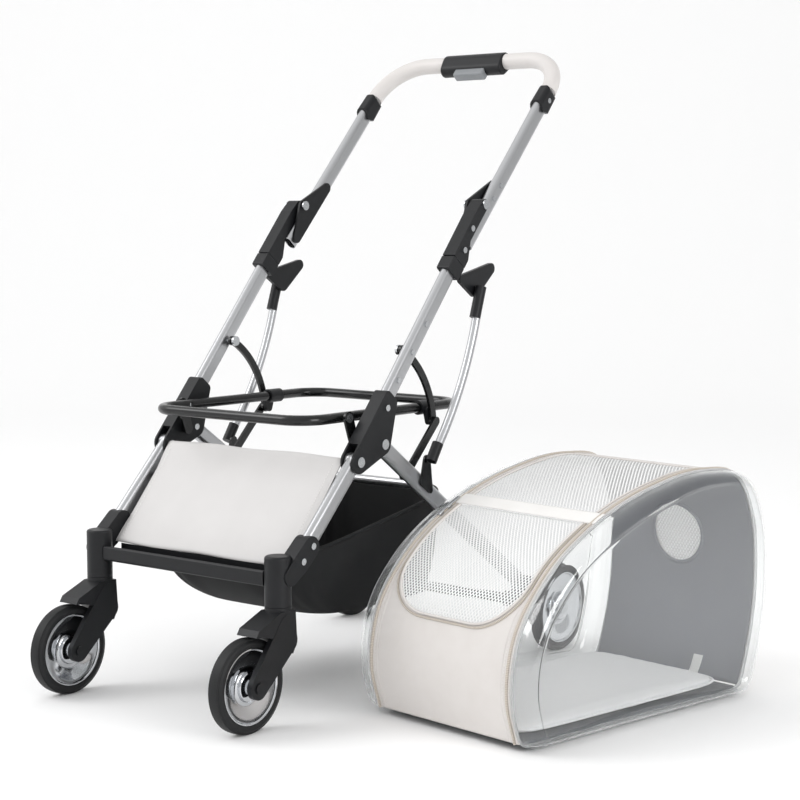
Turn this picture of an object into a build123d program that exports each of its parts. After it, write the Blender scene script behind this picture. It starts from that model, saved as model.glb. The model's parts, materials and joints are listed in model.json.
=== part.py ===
from build123d import *
import os
from math import cos, hypot, radians, sin

# Pet stroller: a folding aluminium chassis on two swivel casters and two fixed rear wheels,
# with a mesh and clear-window carrier that lifts off its hoop and stands beside it.
# Side points are (rearward, up) in mm from the floor point midway between the casters.

# ---- driving dimensions ----
STROLLER_X, STROLLER_Y = -209.2, -313.2   # the stroller's own zero in the part's frame
CARRIER_X, CARRIER_Y = 550.0, 83.0        # carrier's front right corner, from the stroller's zero
CARRIER_TURN = 8.5                        # carrier is turned this much, in degrees

OVAL_DEEP, OVAL_WIDE, TUBE_WALL = 28.0, 16.0, 1.5
TUBE_X = 200.0            # main tubes and legs stand this far from the middle
HANDLE_X = 191.0          # handle tubes
PLATE_DEEP = 24.0         # brackets and housings over the tubes
CHEEK_GAP = 17.2          # slot for a leg between two cheeks
BEND = (161.0, 374.0)     # front leg pivot, where the main tube's line starts
MAIN_SLOPE = 50.1
MAIN_TUBE = (22.0, 396.0)                 # start and end along that line
REAR_PIVOT = (219.0, 396.0)
REAR_AXLE = (668.0, 75.0)
REAR_WHEEL_X = 231.0
FRONT_LUG = (34.0, 242.0)
PIN_R, PIN_PLAY = 5.0, 0.06

POST_X, POST_R, POST_TOP, POST_SPLIT = 190.0, 20.0, 252.0, 178.0
TRAIL = 63.0              # caster axle lies this far in front of its post
FRONT_R, REAR_R, TYRE_HALF = 70.0, 75.0, 12.0
AXLE_R = 4.0
CASTER_WHEEL_X = -6.0     # wheel's middle from its post

HANDLE_PIN = (502.0, 5.4)                 # along and off the main tube's line
HANDLE_FOOT, CUFF = (436.0, -16.8), (761.5, -30.5)
ARCH_RISE, ARCH_CORNER = 104.0, 80.0
SLEEVE_R, CORE_R, CORE_WALL = 14.0, 10.5, 1.5
GRIP_HALF = 66.0
CUFF_TOP = 22.0

HOOP_X, HOOP_FRONT, HOOP_REAR, HOOP_Z, HOOP_R, HOOP_CORNER = 163.0, 90.0, 480.0, 438.0, 8.0, 45.0
HOOP_PIVOT_Y = 174.0
ARC_TOP, ARC_MID, KNEE = (300.0, 535.0), (350.0, 492.0), (379.0, 417.0)
LINK_FOOT = (300.0, 337.0)
STRUT_X, STRUT_R, SOCKET_R = 221.0, 7.0, 9.0
STRUT_TOP, STRUT_MID, STRUT_END = (454.0, 625.0), (407.6, 487.0), (328.0, 365.0)

CARRIER_WIDE, BUBBLE = 291.0, 33.0
FABRIC, WINDOW_WALL = 3.0, 2.5
# Side outline of the carrier, as arcs: each (start, middle), and the last one's end.
OUTLINE = (((15, 8), (-4, 80)), ((9, 160), (71, 242)), ((181, 310), (300, 347)), ((420, 360), (500, 345)),
           ((540, 275), (549, 200)), ((541, 110), (527, 56)))
OUTLINE_END = (510, 8)
HUB = (250.0, 120.0)      # inside point from which the carrier's panels are divided
FRONT_FOOT, DOOR_LOW, STRIP_LOW, STRIP_HIGH, TOP_END, REAR_FOOT = 205.0, 171.0, 111.5, 104.0, 53.0, -22.8

SIDES = (("left", -1), ("right", 1))
os.makedirs("parts", exist_ok=True)

MAIN = (cos(radians(MAIN_SLOPE)), sin(radians(MAIN_SLOPE)))


# ---- planes and points ----
def side(x):
    """Plane across the stroller at x, with rearward and up as its own two directions."""
    return Plane(origin=(STROLLER_X + x, STROLLER_Y, 0), x_dir=(0, 1, 0), z_dir=(1, 0, 0))


def main_line(x):
    """Plane across the stroller at x, with its own x along the main tube and its y to the front."""
    return Plane(origin=(STROLLER_X + x, STROLLER_Y + BEND[0], BEND[1]),
                 x_dir=(0, MAIN[0], MAIN[1]), z_dir=(1, 0, 0))


def on_main(along, off):
    """Side point that lies so far along the main tube's line and so far off its front."""
    return (BEND[0] + along * MAIN[0] - off * MAIN[1], BEND[1] + along * MAIN[1] + off * MAIN[0])


def square_to(x, start, end):
    """Plane at start, square to the run from start to end."""
    return Plane(origin=(STROLLER_X + x, STROLLER_Y + start[0], start[1]),
                 x_dir=(1, 0, 0), z_dir=(0, end[0] - start[0], end[1] - start[1]))


def carrier_side(u):
    """Plane across the carrier at u, with the carrier's length and up as its own two directions."""
    wide = (cos(radians(CARRIER_TURN)), -sin(radians(CARRIER_TURN)))
    return Plane(origin=(STROLLER_X + CARRIER_X + u * wide[0], STROLLER_Y + CARRIER_Y + u * wide[1], 0),
                 x_dir=(-wide[1], wide[0], 0), z_dir=(wide[0], wide[1], 0))


def far(start, end):
    return hypot(end[0] - start[0], end[1] - start[1])


def toward(start, end, distance):
    """Side point at a distance from start on the run to end."""
    share = distance / far(start, end)
    return (start[0] + share * (end[0] - start[0]), start[1] + share * (end[1] - start[1]))


def write(piece, label):
    piece.part.label = label
    export_step(piece.part, f"parts/{label}.step")


# ---- shared shapes ----
def oval(grow=0.0, mode=Mode.ADD):
    SlotOverall(OVAL_DEEP + grow, OVAL_WIDE + grow, rotation=90, mode=mode)


def hull_of(*discs):
    """Outline of a plate stretched round discs, each (along, up, radius)."""
    for along, up, radius in discs:
        with Locations((along, up)):
            Circle(radius)
    make_hull()


def discs(x_from, x_to, radius, points, mode=Mode.ADD):
    """Short cylinders across the stroller, from one x to another, at side points."""
    with BuildSketch(side(x_from)) as face:
        with Locations(*points):
            Circle(radius)
    extrude(face.sketch, amount=x_to - x_from, mode=mode)


def oval_tubes(label, x, start, end, knuckle=False):
    """A flat-oval tube on each side; a knuckle closes its start round a pivot hole."""
    with BuildPart() as tubes:
        for _, sign in SIDES:
            with BuildSketch(square_to(sign * x, start, end)) as section:
                oval()
                oval(-2 * TUBE_WALL, Mode.SUBTRACT)
            extrude(section.sketch, amount=far(start, end))
            if knuckle:
                discs(sign * x - OVAL_WIDE / 2, sign * x + OVAL_WIDE / 2, OVAL_DEEP / 2, [start])
        if knuckle:
            discs(-x - OVAL_WIDE, x + OVAL_WIDE, PIN_R + PIN_PLAY, [start], Mode.SUBTRACT)
    write(tubes, label)


def pins(label, rows):
    """Pins across the stroller on both sides: rows of (inner x, outer x, radius, side points)."""
    with BuildPart() as group:
        for _, sign in SIDES:
            for inner, outer, radius, points in rows:
                low, high = sorted((sign * inner, sign * outer))
                discs(low, high, radius, points)
    write(group, label)


# ---- chassis: main tubes, lower brackets, hinge housings ----
oval_tubes("main_tubes", TUBE_X, on_main(MAIN_TUBE[0], 0), on_main(MAIN_TUBE[1], 0))

# Lower brackets: a sleeve on each main tube whose two cheeks hold both legs.
with BuildPart() as brackets:
    for _, sign in SIDES:
        x = sign * TUBE_X
        with BuildSketch(main_line(x)):
            hull_of((0, 0, 18), (54, -30.4, 16), (117, 9, 8), (117, -9, 8))
        extrude(amount=PLATE_DEEP / 2, both=True)
        with BuildSketch(square_to(x, on_main(MAIN_TUBE[0], 0), on_main(MAIN_TUBE[1], 0))):
            oval()
        extrude(amount=140, mode=Mode.SUBTRACT)
        with BuildSketch(main_line(x)):
            with Locations((-19, 0)):
                Rectangle(80, 120)
            with Locations((27, -65.2)):
                Rectangle(110, 100)
        extrude(amount=CHEEK_GAP / 2, both=True, mode=Mode.SUBTRACT)
    discs(-250, 250, PIN_R, [BEND, REAR_PIVOT], Mode.SUBTRACT)
write(brackets, "lower_brackets")

# Hinge housings: each closes a main tube's top and carries a handle pin.
with BuildPart() as housings:
    for _, sign in SIDES:
        x = sign * TUBE_X
        with BuildSketch(main_line(x)):
            with BuildLine():
                Polyline((388, 17), (388, -17), (404, -17), (432, -2), (502, -3.6), (502, 14.4),
                         (480, 17), close=True)
            make_face()
            with Locations(HANDLE_PIN):
                Circle(9)
        extrude(amount=PLATE_DEEP / 2, both=True)
        with BuildSketch(square_to(x, on_main(MAIN_TUBE[0], 0), on_main(MAIN_TUBE[1], 0))):
            oval()
        extrude(amount=MAIN_TUBE[1] - MAIN_TUBE[0], mode=Mode.SUBTRACT)
    discs(-250, 250, PIN_R, [on_main(*HANDLE_PIN)], Mode.SUBTRACT)
write(housings, "hinge_housings")

# Hoop brackets: plates that carry the hoop's pivots beside the lower brackets.
with BuildPart() as plates:
    for _, sign in SIDES:
        with BuildSketch(side(sign * 178)):
            hull_of((HOOP_PIVOT_Y, HOOP_Z, 10), (188, 396, 9))
        extrude(amount=2, both=True)
        discs(*sorted((sign * 180, sign * 188)), 6, [(188, 396)])
    discs(-200, 200, 4, [(HOOP_PIVOT_Y, HOOP_Z)], Mode.SUBTRACT)
write(plates, "hoop_brackets")

outer, inner = TUBE_X + PLATE_DEEP / 2, TUBE_X - PLATE_DEEP / 2
pins("pivot_pins", [(inner, outer, PIN_R, [BEND, REAR_PIVOT]), (outer, outer + 3, 8, [BEND, REAR_PIVOT]),
                    (176, outer, PIN_R, [on_main(*HANDLE_PIN)]), (outer, outer + 3, 8, [on_main(*HANDLE_PIN)]),
                    (174, 176, 8, [on_main(*HANDLE_PIN)]),
                    (158, 180, 4, [(HOOP_PIVOT_Y, HOOP_Z)]), (180, 182, 7, [(HOOP_PIVOT_Y, HOOP_Z)]),
                    (178, 192, 3.5, [ARC_TOP]), (174, 178, 8, [ARC_TOP])])
pins("frame_rivets", [(TUBE_X + OVAL_WIDE / 2, TUBE_X + OVAL_WIDE / 2 + 2, 4.5,
                       [on_main(153, 0), on_main(207, 0), on_main(262, 0)]),
                      (outer, outer + 2.5, 5, [on_main(101, 0), on_main(410, 2), on_main(450, 8)])])

# ---- struts that slide on the main tubes and brace the rear legs ----
with BuildPart() as collars:
    for _, sign in SIDES:
        with BuildSketch(main_line(sign * TUBE_X)):
            with Locations((374.7, 0)):
                RectangleRounded(25.4, 34, 3)
        extrude(amount=PLATE_DEEP / 2, both=True)
        with BuildSketch(square_to(sign * TUBE_X, on_main(MAIN_TUBE[0], 0), on_main(MAIN_TUBE[1], 0))):
            oval(0.6)
        extrude(amount=400, mode=Mode.SUBTRACT)
        with BuildSketch(main_line(sign * 208.5)):
            hull_of((372, -25, 7), (380.3, -63.8, 11), (434, -75, 9))
        extrude(amount=3.5, both=True)
write(collars, "strut_collars")


def strut_arc(x, radius, bore=0.0, mode=Mode.ADD):
    """Round tube along the strut's curve."""
    with BuildLine(side(x)) as path:
        ThreePointArc(STRUT_TOP, STRUT_MID, STRUT_END)
    with BuildSketch(Plane(origin=path.edge() @ 0, z_dir=path.edge() % 0)) as section:
        Circle(radius)
        if bore:
            Circle(bore, mode=Mode.SUBTRACT)
    sweep(section.sketch, path=path.edge(), mode=mode)


with BuildPart() as struts:
    for _, sign in SIDES:
        strut_arc(sign * STRUT_X, STRUT_R, STRUT_R - TUBE_WALL)
write(struts, "rear_struts")

# Sleeves on the struts' ends, each closed 6 mm past the tube.
with BuildPart() as sleeves:
    for end, length in ((STRUT_TOP, 46.0), (STRUT_END, 26.0)):
        start, reach = toward(end, STRUT_MID, -6), toward(end, STRUT_MID, length)
        for _, sign in SIDES:
            with BuildSketch(square_to(sign * STRUT_X, start, reach)):
                Circle(SOCKET_R)
            extrude(amount=far(start, reach))
            strut_arc(sign * STRUT_X, STRUT_R, mode=Mode.SUBTRACT)
write(sleeves, "strut_ends")

# ---- handle ----
foot, cuff = on_main(*HANDLE_FOOT), on_main(*CUFF)
RISE = ((cuff[0] - foot[0]) / far(foot, cuff), (cuff[1] - foot[1]) / far(foot, cuff))
ARCH_PLANE = Plane(origin=(STROLLER_X, STROLLER_Y + cuff[0], cuff[1]), x_dir=(1, 0, 0),
                   z_dir=(0, -RISE[1], RISE[0]))


def handle_side(x):
    """Plane across the handle at x, from the cuffs, with its own x up the handle."""
    return Plane(origin=(STROLLER_X + x, STROLLER_Y + cuff[0], cuff[1]),
                 x_dir=(0, RISE[0], RISE[1]), z_dir=(1, 0, 0))


def arch(x_from, x_to, low):
    """Path of the arch on its plane, from the left side at height low, as far as x_to."""
    corner = HANDLE_X - ARCH_CORNER
    knee = ARCH_RISE - ARCH_CORNER
    dip = ARCH_CORNER * (1 - cos(radians(45)))
    Line((-HANDLE_X, low), (-HANDLE_X, knee))
    ThreePointArc((-HANDLE_X, knee), (-HANDLE_X + dip, ARCH_RISE - dip), (-corner, ARCH_RISE))
    Line((-corner, ARCH_RISE), (x_to, ARCH_RISE))
    if x_from:
        ThreePointArc((corner, ARCH_RISE), (HANDLE_X - dip, ARCH_RISE - dip), (HANDLE_X, knee))
        Line((HANDLE_X, knee), (HANDLE_X, low))


with BuildPart() as core:
    with BuildLine(ARCH_PLANE) as path:
        arch(True, HANDLE_X - ARCH_CORNER, 0.5)
    with BuildSketch(Plane(origin=path.wire() @ 0, z_dir=path.wire() % 0)):
        Circle(CORE_R)
        Circle(CORE_R - CORE_WALL, mode=Mode.SUBTRACT)
    sweep()
write(core, "handle_arch_tube")

oval_tubes("handle_tubes", HANDLE_X, foot, cuff)
with BuildPart() as sleeves:
    with BuildLine(ARCH_PLANE) as path:
        arch(False, -GRIP_HALF, CUFF_TOP)
    with BuildSketch(Plane(origin=path.wire() @ 0, z_dir=path.wire() % 0)):
        Circle(SLEEVE_R)
        Circle(CORE_R, mode=Mode.SUBTRACT)
    sweep()
    mirror(about=Plane(origin=(STROLLER_X, 0, 0), x_dir=(0, 1, 0), z_dir=(1, 0, 0)))
write(sleeves, "grip_sleeves")

# Cuffs: chevron foot over the flat tube, round mouth for the arch.
with BuildPart() as cuffs:
    for _, sign in SIDES:
        with BuildSketch(handle_side(sign * HANDLE_X)):
            with BuildLine():
                Polyline((-14, 17), (-26, 0), (-14, -17), (CUFF_TOP, -15.5), (CUFF_TOP, 15.5), close=True)
            make_face()
        extrude(amount=12.5, both=True)
    fillet(cuffs.edges().filter_by(lambda e: e.length > 30 and abs((e % 0.5).X) < 0.1), 8)
    for _, sign in SIDES:
        with BuildSketch(square_to(sign * HANDLE_X, foot, cuff)):
            oval()
        extrude(amount=far(foot, cuff), mode=Mode.SUBTRACT)
        with BuildSketch(square_to(sign * HANDLE_X, cuff, toward(cuff, foot, -40))):
            Circle(CORE_R)
        extrude(amount=40, mode=Mode.SUBTRACT)
write(cuffs, "handle_cuffs")

with BuildPart() as plates:
    for _, sign in SIDES:
        with BuildSketch(main_line(sign * (HANDLE_X - OVAL_WIDE / 2 - 2))):
            hull_of((*HANDLE_PIN, 10), (448, -17, 9), (566, -22.4, 9))
            with Locations(HANDLE_PIN):
                Circle(PIN_R + PIN_PLAY, mode=Mode.SUBTRACT)
        extrude(amount=2, both=True)
write(plates, "handle_plates")

pins("handle_rivets", [(HANDLE_X + OVAL_WIDE / 2, HANDLE_X + OVAL_WIDE / 2 + 2, 4.5,
                        [on_main(536, -21), on_main(566, -22.3)]),
                       (HANDLE_X + 12.5, HANDLE_X + 14, 4.5, [on_main(*CUFF)])])

with BuildPart() as grip:
    with BuildSketch(handle_side(0)):
        hull_of((ARCH_RISE, 0, 16.5), (ARCH_RISE - 13, 0, 13.5))
    extrude(amount=GRIP_HALF, both=True)
    fillet(grip.edges().filter_by(lambda e: abs((e % 0.5).X) < 0.1), 4)
    with BuildSketch(handle_side(0)):
        with Locations((ARCH_RISE, 0)):
            Circle(CORE_R)
    extrude(amount=GRIP_HALF + 5, both=True, mode=Mode.SUBTRACT)
    with BuildSketch(handle_side(0)):
        with Locations((ARCH_RISE - CORE_R - 11, 0)):
            Rectangle(22, 19)
    extrude(amount=32.6, both=True, mode=Mode.SUBTRACT)
write(grip, "grip_cover")

with BuildPart() as trigger:
    with BuildSketch(handle_side(0)):
        with Locations((ARCH_RISE - 27, 0)):
            RectangleRounded(17, 18, 4)
    extrude(amount=32, both=True)
    fillet(trigger.edges().filter_by(lambda e: abs((e % 0.5).X) < 0.1), 3)
write(trigger, "grip_trigger")

# ---- front frame: legs, caster housings, bar and panel ----
leg_end = toward(BEND, FRONT_LUG, 170)
oval_tubes("front_legs", TUBE_X, BEND, leg_end, knuckle=True)
for name, sign in SIDES:
    x = sign * TUBE_X
    with BuildPart() as post:
        with BuildSketch(Plane(origin=(STROLLER_X + sign * POST_X, STROLLER_Y, POST_SPLIT))):
            Circle(POST_R)
        extrude(amount=POST_TOP - POST_SPLIT)
        fillet(post.edges().sort_by(Axis.Z)[-1], 4)
        with BuildSketch(side(x)):
            hull_of((6, 222, 14), (26, 238, 17), (50, 259, 17))
        extrude(amount=PLATE_DEEP / 2, both=True)
        with BuildSketch(square_to(x, leg_end, BEND)):
            oval()
        extrude(amount=80, mode=Mode.SUBTRACT)
        with BuildSketch(Plane(origin=(STROLLER_X + sign * POST_X, STROLLER_Y, POST_SPLIT))):
            Circle(6 + PIN_PLAY)
        extrude(amount=50, mode=Mode.SUBTRACT)
    write(post, f"caster_housing_{name}")

bar_half = POST_X - POST_R - 0.2
with BuildPart() as bar:
    with BuildSketch(side(-bar_half)):
        with Locations((10, 217)):
            RectangleRounded(42, 24, 5)
        with Locations((10, 222)):
            RectangleRounded(35, 24, 3, mode=Mode.SUBTRACT)
    extrude(amount=2 * bar_half)
write(bar, "front_bar")

panel_top, panel_foot = (157.0, 378.0), (37.0, 233.0)
with BuildPart() as panel:
    with BuildSketch(square_to(0, panel_foot, panel_top)):
        Rectangle(372, 6)
    extrude(amount=far(panel_foot, panel_top))
write(panel, "front_panel")
with BuildPart() as rod:
    rod_place = (125.0, 325.0)
    discs(-TUBE_X + OVAL_WIDE / 2, TUBE_X - OVAL_WIDE / 2, 5, [rod_place])
write(rod, "front_cross_rod")
pins("housing_bolts", [(outer, outer + 2.5, 5, [(30, 241), (52, 261)])])


# ---- wheels ----
def tyre(label, middle, centre, radius):
    """Rubber ring: a rounded section turned about the axle."""
    seat = radius - 14
    with BuildPart() as ring:
        with BuildSketch(side(middle)):
            with Locations(centre):
                Circle(radius)
                Circle(seat, mode=Mode.SUBTRACT)
        extrude(amount=TYRE_HALF, both=True)
        fillet(ring.edges().filter_by(GeomType.CIRCLE).sort_by(SortBy.RADIUS)[-2:], 7)
    write(ring, label)


def rim(label, middle, centre, radius, hub_from, hub_to, bore):
    """Dished wheel: a barrel under the tyre, a thin web and a stepped hub."""
    with BuildPart() as wheel:
        for low, high, outer_r, inner_r in ((-11, 11, radius, radius - 4), (-9, -6, radius - 3, bore),
                                            (hub_from, hub_to, 12, bore), (hub_from, 5, 22, bore)):
            with BuildSketch(side(middle + low)):
                with Locations(centre):
                    Circle(outer_r)
                    Circle(inner_r, mode=Mode.SUBTRACT)
            extrude(amount=high - low)
    write(wheel, label)


for name, sign in SIDES:
    middle = sign * POST_X + CASTER_WHEEL_X
    axle = (-TRAIL, FRONT_R)
    tyre(f"front_tyre_{name}", middle, axle, FRONT_R)
    rim(f"front_rim_{name}", middle, axle, FRONT_R - 14, -10, 17, AXLE_R + PIN_PLAY)

    # Fork: stem, round cap, hood over the tyre and one arm down to the axle.
    with BuildPart() as fork:
        with BuildSketch(Plane(origin=(STROLLER_X + sign * POST_X, STROLLER_Y, 140))):
            Circle(POST_R)
        extrude(amount=POST_SPLIT - 140.6)
        with BuildSketch(Plane(origin=(STROLLER_X + sign * POST_X, STROLLER_Y, 170))):
            Circle(6)
        extrude(amount=56)
        with BuildSketch(side(middle + 17.5)):
            hull_of((-TRAIL, FRONT_R, 17), (-2, 150, 17), (2, 128, 17))
        extrude(amount=9)
        with BuildSketch(side(middle - 13)):
            with BuildLine():
                Polyline((-16, 172), (16, 172), (19, 125), (10, 108), (-68, 144), (-62, 153), close=True)
            make_face()
            with Locations(axle):
                Circle(FRONT_R + 3, mode=Mode.SUBTRACT)
        extrude(amount=39)
        discs(middle - 12, middle + 26.5, AXLE_R, [axle])
        discs(middle + 26.5, middle + 29, 8, [axle])
        discs(middle - 14.5, middle - 12, 7, [axle])
    write(fork, f"caster_fork_{name}")

# ---- rear frame ----
leg_foot = toward(REAR_PIVOT, REAR_AXLE, 505)
oval_tubes("rear_legs", TUBE_X, REAR_PIVOT, leg_foot, knuckle=True)
for name, sign in SIDES:
    tyre(f"rear_tyre_{name}", sign * REAR_WHEEL_X, REAR_AXLE, REAR_R)
    with BuildPart() as wheel:
        for low, high, outer_r in ((-11, 11, REAR_R - 14), (-9, 9, 0)):
            with BuildSketch(side(sign * REAR_WHEEL_X + low)):
                with Locations(REAR_AXLE):
                    Circle(REAR_R - 14 if outer_r else 20)
                    Circle(REAR_R - 18 if outer_r else 6 + PIN_PLAY, mode=Mode.SUBTRACT)
            extrude(amount=high - low)
        with BuildSketch(side(sign * REAR_WHEEL_X - 1.5)):
            with Locations(REAR_AXLE):
                Circle(REAR_R - 16)
                Circle(19, mode=Mode.SUBTRACT)
        extrude(amount=3)
    write(wheel, f"rear_rim_{name}")

with BuildPart() as hubs:
    for _, sign in SIDES:
        with BuildSketch(side(sign * TUBE_X)):
            hull_of((*REAR_AXLE, 20), (*toward(REAR_PIVOT, REAR_AXLE, 480), 17))
        extrude(amount=PLATE_DEEP / 2, both=True)
        with BuildSketch(square_to(sign * TUBE_X, REAR_PIVOT, REAR_AXLE)):
            oval()
        extrude(amount=505, mode=Mode.SUBTRACT)
    discs(-250, 250, 6, [REAR_AXLE], Mode.SUBTRACT)
write(hubs, "rear_hubs")

with BuildPart() as rod:
    discs(-REAR_WHEEL_X - 10, REAR_WHEEL_X + 10, 6, [REAR_AXLE])
    discs(-REAR_WHEEL_X - 14, -REAR_WHEEL_X - 10, 11, [REAR_AXLE])
    discs(REAR_WHEEL_X + 10, REAR_WHEEL_X + 14, 11, [REAR_AXLE])
write(rod, "rear_axle_rod")
with BuildPart() as cover:
    discs(-inner, inner, 9, [REAR_AXLE])
    discs(-inner, inner, 6, [REAR_AXLE], Mode.SUBTRACT)
write(cover, "rear_axle_tube")

cross_place = toward(REAR_PIVOT, REAR_AXLE, 130)
with BuildPart() as cross:
    discs(-TUBE_X + OVAL_WIDE / 2, TUBE_X - OVAL_WIDE / 2, 7, [cross_place])
    discs(-TUBE_X, TUBE_X, 5.5, [cross_place], Mode.SUBTRACT)
write(cross, "rear_cross_tube")

with BuildPart() as tabs:
    for _, sign in SIDES:
        with BuildSketch(side(sign * 209.7)):
            hull_of((STRUT_END[0], STRUT_END[1] - 4, 8), (*toward(REAR_PIVOT, REAR_AXLE, 120), 5),
                    (*toward(REAR_PIVOT, REAR_AXLE, 145), 5))
        extrude(amount=1.7, both=True)
        discs(*sorted((sign * 184.5, sign * 192)), 3.5, [LINK_FOOT])
        discs(*sorted((sign * 182, sign * 184.5)), 7, [LINK_FOOT])
write(tabs, "rear_leg_tabs")

with BuildPart() as pedal:
    discs(120, 170, 13, [REAR_AXLE])
    with BuildSketch(side(120)):
        with BuildLine():
            Polyline((REAR_AXLE[0] + 6, 84), (REAR_AXLE[0] + 52, 92), (REAR_AXLE[0] + 54, 86),
                     (REAR_AXLE[0] + 8, 70), close=True)
        make_face()
    extrude(amount=50)
    discs(100, 190, 9 + 0.08, [REAR_AXLE], Mode.SUBTRACT)
write(pedal, "brake_pedal")

# ---- carrier hoop and its links ----
with BuildPart() as hoop:
    with BuildLine(Plane(origin=(STROLLER_X, STROLLER_Y, HOOP_Z))) as path:
        FilletPolyline((-HOOP_X, HOOP_REAR), (-HOOP_X, HOOP_FRONT), (HOOP_X, HOOP_FRONT),
                       (HOOP_X, HOOP_REAR), radius=HOOP_CORNER, close=True)
    with BuildSketch(Plane(origin=path.wire() @ 0, z_dir=path.wire() % 0)):
        Circle(HOOP_R)
    sweep()
    discs(-HOOP_X - 10, HOOP_X + 10, 4 + PIN_PLAY, [(HOOP_PIVOT_Y, HOOP_Z)], Mode.SUBTRACT)
write(hoop, "carrier_hoop")

with BuildPart() as clamps:
    for _, sign in SIDES:
        with BuildSketch(Plane(origin=(STROLLER_X + sign * HOOP_X, STROLLER_Y + 364, HOOP_Z),
                               x_dir=(1, 0, 0), z_dir=(0, 1, 0))):
            Circle(HOOP_R + 3.5)
        extrude(amount=30)
        low, high = sorted((sign * 171.5, sign * 179))
        with BuildSketch(side(low)):
            hull_of((*KNEE, 7), (372, 434, 5), (386, 434, 5))
        extrude(amount=high - low)
        with BuildSketch(Plane(origin=(STROLLER_X + sign * HOOP_X, STROLLER_Y + 350, HOOP_Z),
                               x_dir=(1, 0, 0), z_dir=(0, 1, 0))):
            Circle(HOOP_R + 0.3)
        extrude(amount=60, mode=Mode.SUBTRACT)
write(clamps, "hoop_sleeves")

with BuildPart() as links:
    for _, sign in SIDES:
        with BuildSketch(side(sign * 183)):
            with BuildLine():
                ThreePointArc(ARC_TOP, ARC_MID, KNEE)
            trace(line_width=12)
            with Locations(ARC_TOP, KNEE):
                Circle(8)
            with Locations(ARC_TOP):
                Circle(3.5 + PIN_PLAY, mode=Mode.SUBTRACT)
        extrude(amount=2.5, both=True)
write(links, "arc_links")

with BuildPart() as links:
    for _, sign in SIDES:
        with BuildSketch(side(sign * 189)):
            hull_of((*LINK_FOOT, 7), (*KNEE, 7))
            with Locations(LINK_FOOT):
                Circle(3.5 + PIN_PLAY, mode=Mode.SUBTRACT)
        extrude(amount=2, both=True)
write(links, "lower_links")

# ---- basket: an open fabric tub under the hoop ----
BASKET_HALF = 158.0
TUB = [(60, 226), (74, 192), (142, 154), (170, 124), (455, 124), (478, 150), (484, 300)]
with BuildPart() as basket:
    with BuildSketch(side(0)):
        with BuildLine():
            Polyline(*TUB, close=True)
        make_face()
    extrude(amount=BASKET_HALF, both=True)
    with BuildSketch(side(0)):
        with BuildLine():
            Polyline((56, 250), *TUB[1:-1], (484, 330), close=True)
        make_face()
        offset(amount=-FABRIC, kind=Kind.INTERSECTION)
    extrude(amount=BASKET_HALF - FABRIC, both=True, mode=Mode.SUBTRACT)
write(basket, "basket")


# ---- carrier ----
def outline(shrink=0.0):
    """Side outline of the carrier, drawn in by shrink."""
    with BuildLine() as edge:
        ends = [start for start, _ in OUTLINE[1:]] + [OUTLINE_END]
        for (start, middle), end in zip(OUTLINE, ends):
            ThreePointArc(start, middle, end)
        Line(OUTLINE_END, OUTLINE[0][0])
    make_face(edge.edges())
    if shrink:
        offset(amount=-shrink, kind=Kind.INTERSECTION)


def fan(start, end, reach=600.0):
    """Wedge from the carrier's inner point, between two directions in degrees."""
    steps = 4
    turns = [start + (end - start) * k / steps for k in range(steps + 1)]
    with BuildLine() as edge:
        Polyline(HUB, *[(HUB[0] + reach * cos(radians(a)), HUB[1] + reach * sin(radians(a))) for a in turns],
                 close=True)
    make_face(edge.edges())


def band(u_low, u_high, start, end, outer_off=0.0, thick=FABRIC, mode=Mode.ADD):
    """Strip of the carrier's wall between two directions, from one side to another."""
    with BuildSketch(carrier_side(u_low)) as strip:
        outline(outer_off)
        with BuildSketch(Plane.XY, mode=Mode.PRIVATE) as within:
            outline(outer_off + thick)
        add(within.sketch, mode=Mode.SUBTRACT)
        with BuildSketch(Plane.XY, mode=Mode.PRIVATE) as wedge:
            fan(start, end)
        add(wedge.sketch, mode=Mode.INTERSECT)
    extrude(strip.sketch, amount=u_high - u_low, mode=mode)


EDGE = 24.0               # fabric border beside each mesh panel
for label, start, end, window in (("front_cover", FRONT_FOOT, STRIP_LOW, DOOR_LOW),
                                  ("top_cover", STRIP_HIGH, TOP_END, STRIP_HIGH - 0.5)):
    with BuildPart() as cover:
        band(-CARRIER_WIDE, 0, start, end)
        close = STRIP_LOW - 1 if label == "front_cover" else TOP_END + 2
        with BuildSketch(carrier_side(-CARRIER_WIDE + EDGE)):
            fan(window, close)
        extrude(amount=CARRIER_WIDE - 2 * EDGE, mode=Mode.SUBTRACT)
    write(cover, label)
for label, start, end, play in (("mesh_door", DOOR_LOW - 0.3, STRIP_LOW + 0.3, 0.6),
                                ("top_mesh", STRIP_HIGH - 0.5, TOP_END + 2, 0.0)):
    with BuildPart() as mesh:
        band(-CARRIER_WIDE + EDGE + play, -EDGE - play, start, end, thick=2.0)
    write(mesh, label)
with BuildPart() as strip:
    band(-CARRIER_WIDE, 0, STRIP_LOW, STRIP_HIGH)
write(strip, "cross_strip")

ROUND_U, ROUND_Z, ROUND_R = -150.0, 235.0, 50.0


def round_hole(radius, mode):
    across = carrier_side(ROUND_U)
    with BuildSketch(Plane(origin=across.from_local_coords((480, ROUND_Z, 0)), x_dir=(0, 0, 1),
                           z_dir=across.x_dir)) as face:
        Circle(radius)
    extrude(face.sketch, amount=120, mode=mode)


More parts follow.
